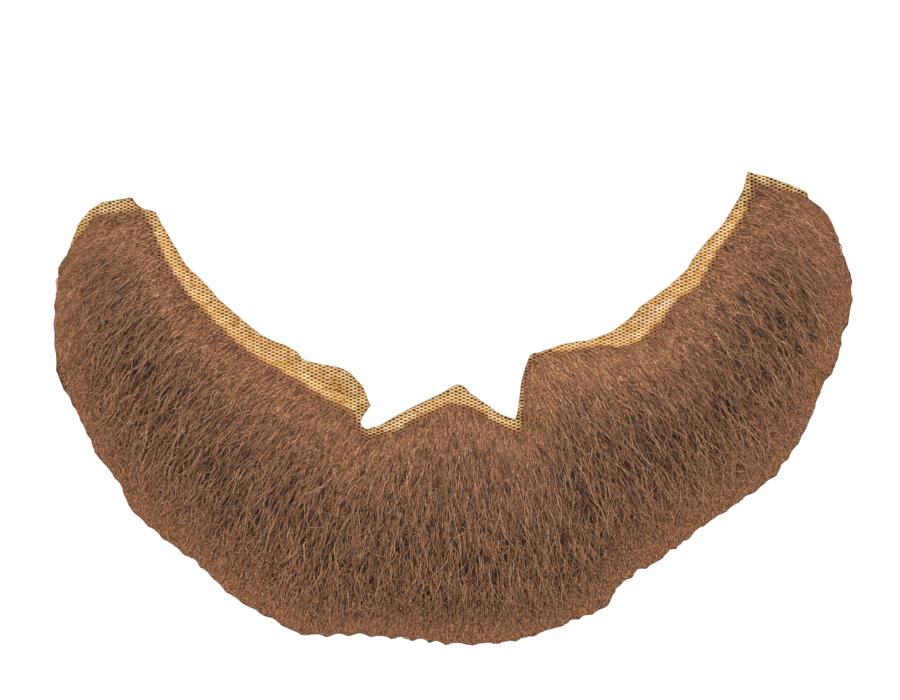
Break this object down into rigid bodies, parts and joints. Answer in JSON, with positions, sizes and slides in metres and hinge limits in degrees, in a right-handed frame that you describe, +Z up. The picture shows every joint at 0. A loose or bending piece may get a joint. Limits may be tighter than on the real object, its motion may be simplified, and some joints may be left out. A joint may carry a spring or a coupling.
{
  "type": "fake beard",
  "caption": "False full beard: combed brown hair in locks on a flat tan net base with bare net borders along the cheeks and lip, worn glued to the face.",
  "frame": {"origin": "middle of the beard's outline in plan, on the surface that the net lies on", "axes": "+X towards the sideburn on the right of the picture, +Y from the chin's tips up towards the sideburn tops, +Z up out of the net on the hair side"},
  "size_m": [0.3006, 0.1764, 0.0175],
  "materials": {
    "net": "tan hexagonal wig net, matt",
    "hem": "second layer of the same net, matt",
    "hair": "combed synthetic hair, soft sheen"
  },
  "bodies": {
    "root": {"net_base": "net", "net_hem_left": "hem", "net_hem_lip": "hem", "net_hem_right": "hem", "hair": "hair"}
  },
  "joints": []
}
